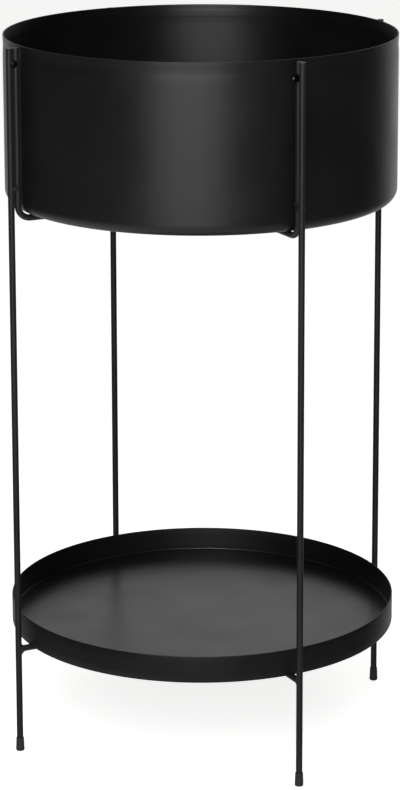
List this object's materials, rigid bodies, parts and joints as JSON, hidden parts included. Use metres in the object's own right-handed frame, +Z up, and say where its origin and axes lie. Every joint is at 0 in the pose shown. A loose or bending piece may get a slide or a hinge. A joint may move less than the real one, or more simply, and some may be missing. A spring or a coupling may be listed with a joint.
{
  "type": "plant stand",
  "caption": "Round black metal stand: a deep open bowl held in a rod cradle on slim rod legs, with a shallow tray below.",
  "frame": {"origin": "on the floor, under the middle of the stand", "axes": "+Z up; the legs stand on the X and Y axes, with -Y the front leg and +X the right leg"},
  "size_m": [0.4292, 0.4292, 0.73],
  "materials": {
    "powder_coat": "matte black powder coat",
    "black_zinc": "black zinc-plated steel",
    "rubber": "matte black rubber"
  },
  "bodies": {
    "frame": {"leg_front": "powder_coat", "leg_left": "powder_coat", "leg_right": "powder_coat", "leg_back": "powder_coat", "cradle_hoop": "powder_coat", "cradle_arm_front": "powder_coat", "cradle_arm_back": "powder_coat", "cradle_centre_weld": "powder_coat", "crossbar_long": "powder_coat", "crossbar_front": "powder_coat", "crossbar_back": "powder_coat", "crossbar_centre_weld": "powder_coat", "bar_weld_front": "powder_coat", "bar_weld_left": "powder_coat", "bar_weld_right": "powder_coat", "bar_weld_back": "powder_coat", "arm_clip_front": "powder_coat", "arm_clip_left": "powder_coat", "arm_clip_right": "powder_coat", "arm_clip_back": "powder_coat", "screw_front": "black_zinc", "screw_left": "black_zinc", "screw_right": "black_zinc", "screw_back": "black_zinc", "nut_front": "black_zinc", "nut_left": "black_zinc", "nut_right": "black_zinc", "nut_back": "black_zinc", "foot_front": "rubber", "foot_left": "rubber", "foot_right": "rubber", "foot_back": "rubber"},
    "bowl": {"bowl": "powder_coat"},
    "tray": {"tray_wall": "powder_coat", "tray_floor": "powder_coat"}
  },
  "joints": [
    {"name": "bowl_lift", "type": "slide", "parent": "frame", "child": "bowl", "axis": [0, 0, 1], "range_m": [0, 0.2]},
    {"name": "tray_lift", "type": "slide", "parent": "frame", "child": "tray", "axis": [0, 0, 1], "range_m": [0, 0.35]}
  ]
}
